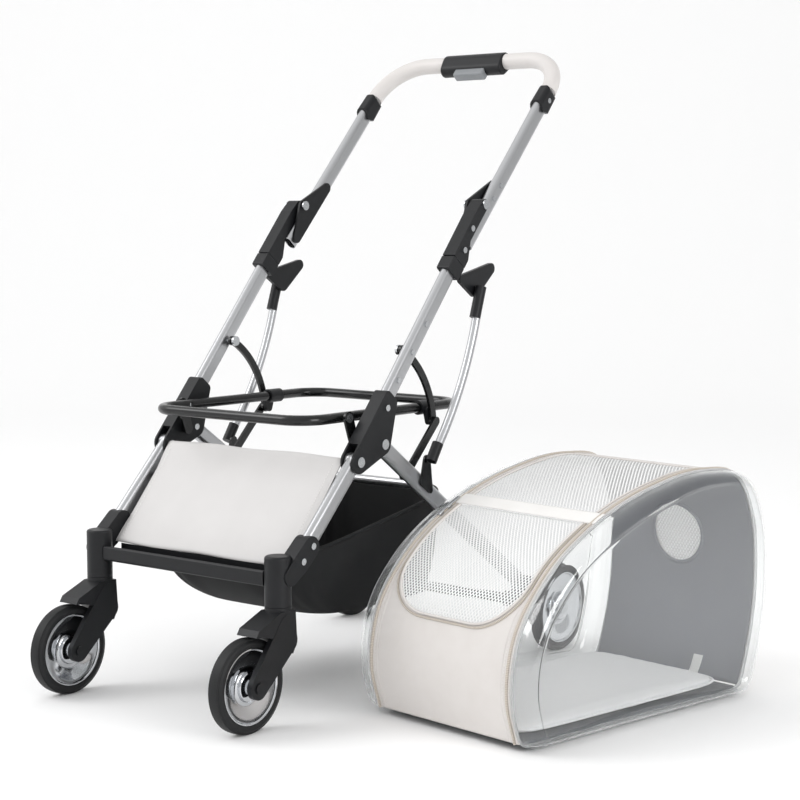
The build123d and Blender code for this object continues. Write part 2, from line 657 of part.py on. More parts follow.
with BuildPart() as rear:
    band(-CARRIER_WIDE, 0, TOP_END, REAR_FOOT)
    round_hole(ROUND_R, Mode.SUBTRACT)
write(rear, "rear_cover")
with BuildPart() as lining:
    band(-CARRIER_WIDE + 4, -4, TOP_END - 2, REAR_FOOT + 6, outer_off=FABRIC, thick=2.0)
    round_hole(ROUND_R, Mode.SUBTRACT)
write(lining, "rear_lining")
with BuildPart() as window:
    band(-CARRIER_WIDE + 4, -4, TOP_END, REAR_FOOT, thick=2.0)
    round_hole(ROUND_R, Mode.INTERSECT)
write(window, "rear_window_mesh")

with BuildPart() as board:
    with BuildSketch(carrier_side(-CARRIER_WIDE + 1)):
        with Locations((262, 11.2)):
            RectangleRounded(478, 6.4, 3)
    extrude(amount=CARRIER_WIDE - 2)
write(board, "base_board")
with BuildPart() as pad:
    with BuildSketch(carrier_side(-CARRIER_WIDE + 8)):
        with Locations((262, 23)):
            RectangleRounded(470, 16, 5)
    extrude(amount=CARRIER_WIDE - 16)
write(pad, "floor_pad")

with BuildPart() as tapes:
    for low, high in ((-CARRIER_WIDE + 2, -CARRIER_WIDE + 12), (-12, -2)):
        band(low, high, FRONT_FOOT, REAR_FOOT, outer_off=-1.5, thick=1.5)
write(tapes, "zip_tapes")

# Clear moulded windows: shallow dishes, each a wall, a shoulder and a raised face.
SHOULDER, FACE_IN = 20.0, 6.0
for name, edge_u, sign in (("left", -CARRIER_WIDE - 0.4, -1), ("right", 0.4, 1)):
    with BuildPart() as dish:
        for low, high, outside, inside in ((0, SHOULDER, 0, WINDOW_WALL),
                                           (SHOULDER - WINDOW_WALL, SHOULDER, 0, FACE_IN + WINDOW_WALL),
                                           (SHOULDER - WINDOW_WALL, BUBBLE, FACE_IN, FACE_IN + WINDOW_WALL),
                                           (BUBBLE - WINDOW_WALL, BUBBLE, FACE_IN, None)):
            with BuildSketch(carrier_side(edge_u + sign * low)) as ring:
                outline(outside)
                if inside:
                    with BuildSketch(Plane.XY, mode=Mode.PRIVATE) as within:
                        outline(inside)
                    add(within.sketch, mode=Mode.SUBTRACT)
            extrude(ring.sketch, amount=sign * (high - low))
    write(dish, f"side_window_{name}")

with BuildPart() as feet:
    for u in (-CARRIER_WIDE + 30, -30):
        across = carrier_side(u)
        for v in (60, 455):
            with BuildSketch(Plane(origin=across.from_local_coords((v, 0, 0)))):
                Circle(13)
            extrude(amount=8)
    for u in (-205, -86):
        with BuildSketch(carrier_side(u - 14)):
            with BuildLine():
                Polyline((110, 8), (140, 8), (140, 2), (134, 2), (134, 5), (110, 5), close=True)
            make_face()
        extrude(amount=28)
write(feet, "carrier_feet")
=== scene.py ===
"""Looks of a pet stroller and its lift-off carrier, built round the packed frame."""
import json

import bpy
import numpy as np
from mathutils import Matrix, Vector


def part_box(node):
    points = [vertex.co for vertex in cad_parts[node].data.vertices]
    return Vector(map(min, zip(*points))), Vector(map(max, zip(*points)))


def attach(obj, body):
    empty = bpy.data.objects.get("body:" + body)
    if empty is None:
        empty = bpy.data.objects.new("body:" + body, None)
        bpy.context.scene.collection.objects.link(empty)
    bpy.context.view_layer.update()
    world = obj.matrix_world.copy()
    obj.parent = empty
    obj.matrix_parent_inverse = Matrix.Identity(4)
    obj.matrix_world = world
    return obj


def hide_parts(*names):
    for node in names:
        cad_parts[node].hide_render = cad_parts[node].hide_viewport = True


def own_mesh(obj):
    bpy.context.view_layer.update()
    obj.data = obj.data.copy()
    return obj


bl_info = {
    "name": "Pet stroller looks",
    "version": (1, 0, 0),
    "blender": (4, 5, 0),
    "location": "View3D > Sidebar > Stroller",
    "description": "Fabric, clear windows, zips and finishes of a pet stroller",
    "category": "Object",
}

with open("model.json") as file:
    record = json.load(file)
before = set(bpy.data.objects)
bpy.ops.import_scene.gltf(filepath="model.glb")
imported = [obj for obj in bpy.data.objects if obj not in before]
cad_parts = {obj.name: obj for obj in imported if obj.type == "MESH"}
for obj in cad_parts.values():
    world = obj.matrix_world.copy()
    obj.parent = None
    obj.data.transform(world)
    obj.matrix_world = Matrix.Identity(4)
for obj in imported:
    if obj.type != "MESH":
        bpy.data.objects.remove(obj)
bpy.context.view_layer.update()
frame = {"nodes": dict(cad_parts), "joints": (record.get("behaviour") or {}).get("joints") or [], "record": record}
JOINTS = {joint["name"]: joint for joint in frame["joints"]}
MM = 0.001
WAVE = np.pi / 10          # a band texture repeats every WAVE / scale

# The stroller's own zero is the floor point midway between the casters.
POSTS = [np.array(JOINTS[f"caster_swivel_{side}"]["pos_m"]) for side in ("left", "right")]
ZERO = np.array([(POSTS[0][0] + POSTS[1][0]) / 2, POSTS[0][1], 0.0])

# The carrier's own directions come from its window hinge, which lies along its lower right edge.
LONG = np.array(JOINTS["window_open"]["axis"], float)
WIDE = -np.array(JOINTS["door_open"]["axis"], float)
UP = np.array([0.0, 0.0, 1.0])
HINGE_U, HINGE_V, HINGE_Z = 0.4, 260.0, 8.0
CORNER = (np.array(JOINTS["window_open"]["pos_m"])
          - MM * (HINGE_U * WIDE + HINGE_V * LONG + HINGE_Z * UP))

# Side outline of the carrier, (lengthwise, up) in mm, from its front foot over the top to its rear foot.
OUTLINE = np.array([(15, 8), (-4, 80), (9, 160), (71, 242), (181, 310), (300, 347), (420, 360),
                    (500, 345), (540, 275), (549, 200), (541, 110), (527, 56), (510, 8)], float)
WIDTH = 291.0             # fabric body between its two windows
DOOR_FOOT, STRIP_LOW, STRIP_HIGH, MESH_END, TOP_END = 165.0, 376.0, 401.0, 640.0, 668.0
HEM = 20.0                # fabric border beside each mesh panel
MIDDLE = -WIDTH / 2
DOOR_HALF, DOOR_ROUND = WIDTH / 2 - HEM, 78.0
HEM_FOOT = 5.0            # cloth starts this far along the wall
CLOTH, NET, COIL = 2.0, 0.5, 2.1
PORT, PORT_SHIFT = 50.0, -4.5             # round rear window: radius, and how far it sits off the middle
WINDOW_DEEP, SHOULDER, WINDOW_WALL = 32.0, 21.0, 2.2
PAD_MIDDLE, PAD_SIZE = (262.0, 22.5), (268.0, 456.0, 11.0)

PANEL_FOOT, PANEL_HEAD, PANEL_HALF = (32.0, 227.0), (157.0, 378.0), 186.0
FLOOR_LOW = 127.0         # underside of the basket
TYRE_DEEP, BORE = 14.0, 4.3
CAMERA = (2020.2, -2011.1, 738.4)         # from the stroller's zero, in mm
CAMERA_TURN = (84.545, 0.0, 38.557)


# ---- shared geometry ----
def unit(rows):
    """Directions scaled to length one."""
    return rows / np.linalg.norm(rows, axis=-1, keepdims=True)


def run_along(path):
    """Distance along a path at each of its points."""
    return np.concatenate([[0], np.cumsum(np.linalg.norm(np.diff(path, axis=0), axis=1))])


def sample(path, run, at):
    """Points of a path at given distances along it, straight between its own points."""
    return np.stack([np.interp(at, run, column) for column in path.T], -1)


def boxy(turn, power):
    """Cosine and sine of a turn, each raised to a power with its sign kept: below one, it makes a circle a
    box with round corners."""
    return [np.sign(part) * np.abs(part) ** power for part in (np.cos(turn), np.sin(turn))]


def spread(points, count):
    """Smooth curve through points: cubic Hermite spans with chord tangents, resampled to even steps."""
    knots = run_along(points)
    slope = np.gradient(points, knots, axis=0)
    t = np.linspace(0, knots[-1], 40 * len(points))
    k = np.clip(np.searchsorted(knots, t, side="right") - 1, 0, len(points) - 2)
    h = (knots[k + 1] - knots[k])[:, None]
    w = (t - knots[k])[:, None] / h
    curve = ((2 * w**3 - 3 * w**2 + 1) * points[k] + (w**3 - 2 * w**2 + w) * h * slope[k]
             + (3 * w**2 - 2 * w**3) * points[k + 1] + (w**3 - w**2) * h * slope[k + 1])
    run = run_along(curve)
    return sample(curve, run, np.linspace(0, run[-1], count)), run[-1]


WALL, WALL_LENGTH = spread(OUTLINE, 1200)
WALL_RUN = np.linspace(0, WALL_LENGTH, len(WALL))
WALL_OUT = unit(np.gradient(WALL, axis=0)[:, ::-1] * (-1, 1))

# The rear window's middle, as a height and as a run along the wall behind the top cover.
REAR_TURN = WALL_RUN > TOP_END
PORT_HEIGHT = (np.sum([corner[2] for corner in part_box("rear_window_mesh")]) / 2 - CORNER[2]) / MM
REAR_MID = np.interp(-PORT_HEIGHT, -WALL[REAR_TURN, 1], WALL_RUN[REAR_TURN])


def wall(run, off=0.0):
    """Outline points (lengthwise, up) at a run along the carrier's wall, off mm outside it."""
    run, off = np.broadcast_arrays(run, off)
    along = np.interp(run, WALL_RUN, WALL[:, 0]) + off * np.interp(run, WALL_RUN, WALL_OUT[:, 0])
    high = np.interp(run, WALL_RUN, WALL[:, 1]) + off * np.interp(run, WALL_RUN, WALL_OUT[:, 1])
    return along, high


def carrier(u, v, z):
    """World points from the carrier's own width, length and height in mm."""
    u, v, z = np.broadcast_arrays(u, v, z)
    return CORNER + MM * (u[..., None] * WIDE + v[..., None] * LONG + z[..., None] * UP)


def stroller(x, y, z):
    """World points from the stroller's own width, length and height in mm."""
    return ZERO + MM * np.stack(np.broadcast_arrays(x, y, z), -1)


def linked(name, mesh):
    """A smooth object for a mesh, in the scene and at its origin."""
    mesh.shade_smooth()
    piece = bpy.data.objects.new(name, mesh)
    bpy.context.scene.collection.objects.link(piece)
    return piece


def pick(pieces):
    """Selects these pieces alone, with the first one active."""
    bpy.ops.object.select_all(action="DESELECT")
    for piece in pieces:
        piece.select_set(True)
    bpy.context.view_layer.objects.active = pieces[0]


def sheet_mesh(name, points, uv=None, close_first=False, close_second=False):
    """Mesh of a grid of points, with each quad between neighbours; either direction may close on itself."""
    rows, cols = points.shape[:2]
    a = np.arange(rows if close_first else rows - 1)[:, None]
    b = np.arange(cols if close_second else cols - 1)[None, :]
    a_next, b_next = (a + 1) % rows, (b + 1) % cols
    quads = np.stack([a * cols + b, a_next * cols + b, a_next * cols + b_next, a * cols + b_next], -1)
    mesh = bpy.data.meshes.new(name)
    mesh.from_pydata(points.reshape(-1, 3).tolist(), [], quads.reshape(-1, 4).tolist())
    if uv is not None:
        layer = mesh.uv_layers.new(name="UVMap")
        corner = np.empty(len(mesh.loops), dtype=np.int32)
        mesh.loops.foreach_get("vertex_index", corner)
        layer.data.foreach_set("uv", uv.reshape(-1, 2)[corner].astype(np.float32).ravel())
    return linked(name, mesh)


def join(name, pieces):
    """One piece from several, with its doubles merged and its normals turned outwards."""
    pick(pieces)
    bpy.ops.object.join()
    whole = bpy.context.view_layer.objects.active
    whole.name = name
    bpy.ops.object.mode_set(mode="EDIT")
    bpy.ops.mesh.select_all(action="SELECT")
    bpy.ops.mesh.remove_doubles(threshold=0.05 * MM)
    bpy.ops.mesh.normals_make_consistent(inside=False)
    bpy.ops.object.mode_set(mode="OBJECT")
    return whole


def thicken(piece, mm):
    """Gives a sheet a wall of mm on its inner side."""
    solidify = piece.modifiers.new("Thickness", "SOLIDIFY")
    solidify.thickness = mm * MM
    solidify.offset = -1.0
    solidify.use_even_offset = False
    return piece


def tube(name, path, radius, across, sides=12, closed=False):
    """Round bead along a path: a circle carried square to it. across is a direction that the path never runs
    along. Its UV runs along the path in metres."""
    if closed:
        ahead = np.roll(path, -1, axis=0) - np.roll(path, 1, axis=0)
    else:
        ahead = np.gradient(path, axis=0)
    ahead = unit(ahead)
    first = unit(np.cross(ahead, across))
    second = np.cross(ahead, first)
    run = run_along(path)
    turn = np.linspace(0, 2 * np.pi, sides, endpoint=False)
    ring = first[:, None] * np.cos(turn)[:, None] + second[:, None] * np.sin(turn)[:, None]
    points = path[:, None] + MM * radius * ring
    uv = np.stack(np.broadcast_arrays(turn[None, :] * MM * radius, run[:, None]), -1)
    piece = sheet_mesh(name, points, uv, close_first=closed, close_second=True)
    return piece if closed else close_ends(piece)


def close_ends(piece):
    """Fills the open rims of a mesh with faces."""
    pick([piece])
    bpy.ops.object.mode_set(mode="EDIT")
    bpy.ops.mesh.select_all(action="DESELECT")
    bpy.ops.mesh.select_non_manifold()
    bpy.ops.mesh.edge_face_add()
    bpy.ops.mesh.select_all(action="SELECT")
    bpy.ops.mesh.normals_make_consistent(inside=False)
    bpy.ops.object.mode_set(mode="OBJECT")
    return piece


def stitches(name, path, out, length=3.2, gap=1.6, radius=0.45, rings=5, sides=6):
    """Sewn thread: short spindles laid end to end along a path, their sides square to out. Each is a few
    rings of points, whose sizes follow half a sine wave, closed by a cap at each end."""
    run = run_along(path)
    starts = np.arange(0, run[-1] - MM * length, MM * (length + gap))
    share = np.linspace(0, 1, rings)
    middle = sample(path, run, starts[:, None] + share * MM * length)
    ahead = unit(middle[:, -1] - middle[:, 0])
    side = unit(np.cross(ahead, out))
    lift = np.cross(side, ahead)
    size = MM * radius * np.sin(np.pi * np.clip(share, 0.06, 0.94))
    turn = np.linspace(0, 2 * np.pi, sides, endpoint=False)
    ring = side[:, None, None] * np.cos(turn)[:, None] + lift[:, None, None] * np.sin(turn)[:, None]
    points = middle[:, :, None] + size[:, None, None] * ring
    first = np.arange(len(starts))[:, None] * rings * sides
    a = np.arange(rings - 1)[:, None] * sides
    b = np.arange(sides)[None, :]
    quads = np.stack([a + b, a + (b + 1) % sides, a + sides + (b + 1) % sides, a + sides + b], -1)
    faces = (first[:, :, None, None] + quads[None]).reshape(-1, 4).tolist()
    caps = (first + b[0, ::-1]).tolist() + (first + (rings - 1) * sides + b[0]).tolist()
    mesh = bpy.data.meshes.new(name)
    mesh.from_pydata(points.reshape(-1, 3).tolist(), [], faces + caps)
    return linked(name, mesh)


def lathe(name, profile, centre, sides=96):
    """Round piece about the stroller's width: profile rows are (across, radius) in mm, closed on itself."""
    turn = np.linspace(0, 2 * np.pi, sides, endpoint=False)[:, None]
    across, radius = profile.T[:, None, :]
    points = np.stack(np.broadcast_arrays(across, radius * np.cos(turn), radius * np.sin(turn)), -1)
    uv = np.stack(np.broadcast_arrays(turn * MM * radius.max(), MM * across), -1)
    return join(name, [sheet_mesh(name, np.array(centre) + MM * points, uv, True, True)])


# ---- materials ----
def linear(hex_colour):
    """Scene-linear RGBA of an sRGB hex colour."""
    value = np.array([int(hex_colour[k:k + 2], 16) for k in (1, 3, 5)]) / 255
    value = np.where(value <= 0.04045, value / 12.92, ((value + 0.055) / 1.055) ** 2.4)
    return (*value.tolist(), 1.0)


def node(tree, kind, inputs=None, **settings):
    """Adds a node; settings are its properties, and inputs its values or the sockets that feed them."""
    made = tree.nodes.new(kind)
    for name, value in settings.items():
        setattr(made, name, value)
    for name, value in (inputs or {}).items():
        if isinstance(value, bpy.types.NodeSocket):
            tree.links.new(value, made.inputs[name])
        else:
            made.inputs[name].default_value = value
    return made


def finish_of(name, colour, roughness, **more):
    """A material with one shader: its name, sRGB colour, roughness and any other of the shader's inputs."""
    material = bpy.data.materials.new(name)
    material.use_nodes = True
    shader = material.node_tree.nodes["Principled BSDF"]
    shader.inputs["Base Color"].default_value = linear(colour)
    shader.inputs["Roughness"].default_value = roughness
    for key, value in more.items():
        shader.inputs[key.replace("_", " ")].default_value = value
    return material, material.node_tree, shader


def bumped(tree, shader, height, depth_mm, strength):
    """Raises the surface by a height pattern, its full height depth_mm."""
    bump = node(tree, "ShaderNodeBump", {"Height": height, "Distance": depth_mm * MM, "Strength": strength})
    tree.links.new(bump.outputs["Normal"], shader.inputs["Normal"])


def mottled(tree, shader, where, size_mm, low, high):
    """Colour that drifts between two near shades over patches of a size."""
    noise = node(tree, "ShaderNodeTexNoise", {"Vector": where, "Scale": 1 / (size_mm * MM), "Detail": 3.0})
    mix = node(tree, "ShaderNodeMix", {0: noise.outputs["Fac"], 6: linear(low), 7: linear(high)},
               data_type="RGBA")
    tree.links.new(mix.outputs[2], shader.inputs["Base Color"])


def weave(tree, where, thread_mm):
    """Height of a plain weave: two crossed bands, each a thread spacing apart."""
    scale = WAVE / (thread_mm * MM)
    warp = node(tree, "ShaderNodeTexWave", {"Vector": where, "Scale": scale}, bands_direction="X")
    weft = node(tree, "ShaderNodeTexWave", {"Vector": where, "Scale": scale}, bands_direction="Y")
    return node(tree, "ShaderNodeMath", {0: warp.outputs["Fac"], 1: weft.outputs["Fac"]},
                operation="MAXIMUM").outputs[0]


def object_place(tree):
    """Where a pattern sits when it doesn't follow the surface, in metres."""
    return node(tree, "ShaderNodeTexCoord").outputs["Object"]


def surface_place(tree):
    """Where a pattern sits when it follows the cloth, in metres along and across it."""
    return node(tree, "ShaderNodeUVMap", uv_map="UVMap").outputs["UV"]


def satin_aluminium():
    """Satin anodised 6063 extrusion: a soft bright metal with a faint matt grain, no sharp mirror."""
    material, tree, shader = finish_of("satin anodised aluminium", "#bcbdbf", 0.3, Metallic=1.0)
    grain = node(tree, "ShaderNodeTexNoise", {"Vector": object_place(tree), "Scale": 900.0, "Detail": 2.0})
    rough = node(tree, "ShaderNodeMapRange", {0: grain.outputs["Fac"], 3: 0.24, 4: 0.4})
    tree.links.new(rough.outputs[0], shader.inputs["Roughness"])
    bumped(tree, shader, grain.outputs["Fac"], 0.02, 0.4)
    return material


def moulded_nylon(name="spark-textured black nylon", colour="#111214", edge="#191a1d", roughness=0.42):
    """Glass-filled nylon from a spark-eroded tool: near black, a fine even grain, dull highlights."""
    material, tree, shader = finish_of(name, colour, roughness, Specular_IOR_Level=0.3)
    place = object_place(tree)
    mottled(tree, shader, place, 18.0, colour, edge)
    grain = node(tree, "ShaderNodeTexNoise", {"Vector": place, "Scale": 1600.0, "Detail": 2.0})
    bumped(tree, shader, grain.outputs["Fac"], 0.06, 0.5)
    return material


def black_enamel():
    """Powder-coated steel tube baked glossy: deep black with sharp highlights over slight orange peel."""
    material, tree, shader = finish_of("gloss black powder coat", "#08090a", 0.25,
                                       Specular_IOR_Level=0.35, Coat_Weight=0.2, Coat_Roughness=0.08)
    peel = node(tree, "ShaderNodeTexNoise", {"Vector": object_place(tree), "Scale": 420.0, "Detail": 1.0})
    bumped(tree, shader, peel.outputs["Fac"], 0.03, 0.25)
    return material


def zinc_steel():
    """Bright zinc-plated steel fasteners: light grey metal, a little uneven."""
    material, tree, shader = finish_of("bright zinc-plated steel", "#c3c5c7", 0.26, Metallic=1.0)
    mottled(tree, shader, object_place(tree), 3.0, "#b4b7ba", "#d2d4d6")
    return material


def chrome_plate():
    """Chromed wheel dish: a mirror that darkens only where the room does."""
    material, tree, shader = finish_of("chrome-plated wheel dish", "#cdcfd2", 0.07, Metallic=1.0)
    wave = node(tree, "ShaderNodeTexNoise", {"Vector": object_place(tree), "Scale": 120.0})
    rough = node(tree, "ShaderNodeMapRange", {0: wave.outputs["Fac"], 3: 0.05, 4: 0.14})
    tree.links.new(rough.outputs[0], shader.inputs["Roughness"])
    return material


def wheel_rubber():
    """Solid polyurethane tyre: black, dull, with fine pores and a dusty tread."""
    material, tree, shader = finish_of("foamed polyurethane tyre", "#101113", 0.55, Specular_IOR_Level=0.35)
    place = object_place(tree)
    mottled(tree, shader, place, 9.0, "#0e0f10", "#17181a")
    pores = node(tree, "ShaderNodeTexNoise", {"Vector": place, "Scale": 1300.0, "Detail": 3.0})
    bumped(tree, shader, pores.outputs["Fac"], 0.12, 0.5)
    return material


def leather_cloth(name, colour, shade, grain_mm, roughness=0.48):
    """Polyurethane-coated cloth: pebbled grain, soft sheen, slightly darker in the grain's valleys."""
    material, tree, shader = finish_of(name, colour, roughness, Specular_IOR_Level=0.4)
    place = object_place(tree)
    cells = node(tree, "ShaderNodeTexVoronoi", {"Vector": place, "Scale": 1 / (grain_mm * MM)},
                 feature="SMOOTH_F1")
    mottled(tree, shader, place, 60.0, colour, shade)
    bumped(tree, shader, cells.outputs["Distance"], 0.16, 0.45)
    return material


def woven_cloth(name, colour, shade, thread_mm, depth=0.22, sheen=0.15):
    """Polyester oxford cloth: a dull plain weave. Real threads are under half a millimetre apart, too fine
    to show, so they are drawn a few times coarser."""
    material, tree, shader = finish_of(name, colour, 0.82, Sheen_Weight=sheen)
    mottled(tree, shader, object_place(tree), 34.0, colour, shade)
    bumped(tree, shader, weave(tree, surface_place(tree), thread_mm), depth, 0.55)
    return material


def open_mesh(clear=0.46):
    """Warp-knit polyester mesh: diamond holes at a pitch, white on the knuckles and greyer round each hole.
    Real holes are about half as far apart, too fine to show. A hole opens where both bands pass clear."""
    material, tree, shader = finish_of("white warp-knit mesh", "#f1f1f0", 0.7)
    place = surface_place(tree)
    bands = []
    for slant in (0.62, -0.62):
        turned = node(tree, "ShaderNodeMapping", {"Vector": place, "Rotation": (0.0, 0.0, slant)})
        bands.append(node(tree, "ShaderNodeTexWave", {"Vector": turned.outputs[0],
                                                      "Scale": WAVE / settings().mesh_pitch},
                          bands_direction="X").outputs["Fac"])
    both = node(tree, "ShaderNodeMath", {0: bands[0], 1: bands[1]}, operation="MINIMUM")
    thread = node(tree, "ShaderNodeMath", {0: both.outputs[0], 1: clear}, operation="LESS_THAN")
    # painted shade: the threads turn from white to grey towards each hole's edge, where the bands near the clear
    # value
    depth = node(tree, "ShaderNodeMapRange", {0: both.outputs[0], 1: 0.12, 2: clear})
    shade = node(tree, "ShaderNodeMix", {0: depth.outputs[0], 6: linear("#f2f2f1"), 7: linear("#b4b7ba")},
                 data_type="RGBA")
    tree.links.new(shade.outputs[2], shader.inputs["Base Color"])
    tree.links.new(thread.outputs[0], shader.inputs["Alpha"])
    bumped(tree, shader, both.outputs[0], -0.5, 0.6)
    return material


def zip_coil():
    """Nylon coil zip: ivory loops side by side, 2.4 mm apart."""
    material, tree, shader = finish_of("ivory nylon zip coil", "#d8cfc3", 0.5)
    turns = node(tree, "ShaderNodeTexWave", {"Vector": surface_place(tree), "Scale": WAVE / (2.4 * MM)},
                 bands_direction="Y")
    # painted shade: darker where the loops' bump is low, in the grooves between them
    mix = node(tree, "ShaderNodeMix", {0: turns.outputs["Fac"], 6: linear("#a89d90"), 7: linear("#e2dacf")},
               data_type="RGBA")
    tree.links.new(mix.outputs[2], shader.inputs["Base Color"])
    bumped(tree, shader, turns.outputs["Fac"], 0.7, 0.9)
    return material


def clear_pvc():
    """Plasticised PVC sheet, moulded: water clear with a wet gloss. The sheet is thin, so it hardly bends
    what is seen through it, and its gloss is a coat."""
    material, tree, shader = finish_of("clear moulded PVC", "#fbfcfc", 0.02, Transmission_Weight=1.0,
                                       IOR=1.06, Coat_Weight=1.0, Coat_Roughness=0.03, Coat_IOR=1.6)
    swell = node(tree, "ShaderNodeTexNoise", {"Vector": object_place(tree), "Scale": 9.0, "Detail": 1.0})
    bumped(tree, shader, swell.outputs["Fac"], 1.0, 0.08)
    return material


def clear_edge():
    """Welded edge of the same PVC: thicker, so milky."""
    return finish_of("milky PVC weld", "#eef0f1", 0.2, Transmission_Weight=0.5, Alpha=0.75)[0]


def plush():
    """Short-pile fleece over foam: pale grey, soft, no highlight."""
    material, tree, shader = finish_of("pale grey fleece", "#f1f1f2", 0.92, Sheen_Weight=0.4)
    place = object_place(tree)
    mottled(tree, shader, place, 7.0, "#ebebec", "#f6f6f6")
    pile = node(tree, "ShaderNodeTexNoise", {"Vector": place, "Scale": 700.0, "Detail": 4.0})
    bumped(tree, shader, pile.outputs["Fac"], 0.6, 0.7)
    return material


MAKERS = {
    "aluminium_tube": satin_aluminium,
    "black_plastic": moulded_nylon,
    "black_steel": black_enamel,
    "bright_steel": zinc_steel,
    "chrome_wheel": chrome_plate,
    "tyre_rubber": wheel_rubber,
    "white_grip": lambda: leather_cloth("white stitched grip cover", "#d9d5d3", "#cfcbc8", 1.6, 0.42),
    "grey_plastic": lambda: moulded_nylon("satin grey ABS", "#808386", "#8c8f92", 0.4),
    "white_panel": lambda: leather_cloth("off-white coated cloth", "#d3d1d0", "#cbc9c8", 1.4, 0.5),
    "black_fabric": lambda: woven_cloth("black oxford cloth", "#0b0c0d", "#121315", 1.6, sheen=0.0),
    "ivory_fabric": lambda: woven_cloth("ivory oxford cloth", settings().ivory, "#d4cfcb", 1.5),
    "white_mesh": open_mesh,
    "grey_lining": lambda: woven_cloth("grey lining cloth", settings().lining, "#7c7f86", 1.8),
    "pad_fabric": plush,
    "clear_pvc": clear_pvc,
    "clear_edge": clear_edge,
    "zip_coil": zip_coil,
    "webbing": lambda: woven_cloth("white webbing", "#f0efed", "#e5e3e0", 2.2, depth=0.4),
    "blank_tag": lambda: woven_cloth("white satin tag", "#f4f4f2", "#ececea", 1.2),
    "dark_board": lambda: moulded_nylon("dark grey board", "#5b5e62", "#66696d", 0.55),
}
MATERIALS = {}


def material_of(key):
    """The finish of that key, made once."""
    if key not in MATERIALS:
        MATERIALS[key] = MAKERS[key]()
    return MATERIALS[key]


def dress(piece, key, body, slot, *nodes):
    """Gives a new piece its finish, body, slot and the frame nodes that it stands for."""
    piece.data.materials.clear()
    piece.data.materials.append(material_of(key))
    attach(piece, body)
    if nodes:
        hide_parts(*nodes)
    return piece


# ---- the carrier's walls ----
def ease(run, u):
    """Small soft swells of cloth between its seams, in mm: two long sine waves across each other."""
    return 0.7 * np.sin(run / 31.0 + u / 47.0) * np.sin(u / 38.0 - run / 67.0)


def wall_sheet(name, u, run, off=0.0, closed=False):
    """Grid on the carrier's wall: u across and run along it in mm, off outside it, with UV in metres."""
    u, run, off = np.broadcast_arrays(u, run, off)
    v, z = wall(run, off)
    return sheet_mesh(name, carrier(u, v, z), MM * np.stack([u, run], -1), close_second=closed)


def plain_wall(name, across, run, off=0.0):
    """A stretch of the carrier's wall between two positions across it and two runs along it."""
    u = MIDDLE + np.linspace(*across, max(6, int(abs(across[1] - across[0]) / 4)))[None, :]
    along = np.linspace(*run, max(8, int((run[1] - run[0]) / 4)))[:, None]
    return wall_sheet(name, u, along, off)


def door_edge(across):
    """Run of the mesh door's lower edge at a distance from the middle: level, with rounded corners."""
    past = np.clip((np.abs(across) - (DOOR_HALF - DOOR_ROUND)) / DOOR_ROUND, 0, 1)
    return DOOR_FOOT + DOOR_ROUND * (1 - np.sqrt(1 - past**2))


def across_door(count=73):
    """Positions across the door, closer together towards its rounded corners."""
    return DOOR_HALF * np.sin(np.linspace(-np.pi / 2, np.pi / 2, count))


def door_outline(grow, off=1.2):
    """World points down one side of the door, round its foot and up the other side."""
    foot = across_door(121)
    low = door_edge(foot) - grow
    rise = np.linspace(STRIP_LOW - 2, low[0], 60)[:-1]
    edge = np.full(len(rise), DOOR_HALF + grow)
    across = np.concatenate([-edge, foot * edge[0] / DOOR_HALF, edge])
    v, z = wall(np.concatenate([rise, low, rise[::-1]]), off)
    return carrier(MIDDLE + across, v, z)


def make_front_cover():
    """Ivory cloth below the door, whose upper edge is the door's outline, and a border up each side of it."""
    across = across_door()[None, :]
    share = np.linspace(0, 1, 50)[:, None]
    run = HEM_FOOT + share * (door_edge(across) - HEM_FOOT)
    u = MIDDLE + across
    lower = wall_sheet("lower", u, run, ease(run, u) * np.sin(np.pi * share))
    borders = [plain_wall("border", (side * DOOR_HALF, side * WIDTH / 2), (HEM_FOOT, STRIP_LOW))
               for side in (-1, 1)]
    dress(thicken(join("front_cover_cloth", [lower, *borders]), CLOTH), "ivory_fabric", "carrier",
          "ivory_fabric", "front_cover")


def make_mesh_door():
    """Net panel in the door's outline, bellied by half a sine wave each way, and its bound edge."""
    across = across_door()[None, :]
    share = np.linspace(0, 1, 60)[:, None]
    low = door_edge(across) + 1.0
    run = low + share * (STRIP_LOW - 1.0 - low)
    belly = 1.5 * np.sin(np.pi * share) * np.cos(np.pi * across / (2.2 * DOOR_HALF))
    panel = wall_sheet("mesh_door_panel", MIDDLE + 0.993 * across, run, belly - 0.4)
    dress(thicken(panel, NET), "white_mesh", "door", "white_mesh", "mesh_door")
    dress(tube("mesh_door_binding", door_outline(-0.5), 2.0, WIDE + 0.3 * UP), "ivory_fabric", "door",
          "ivory_fabric")


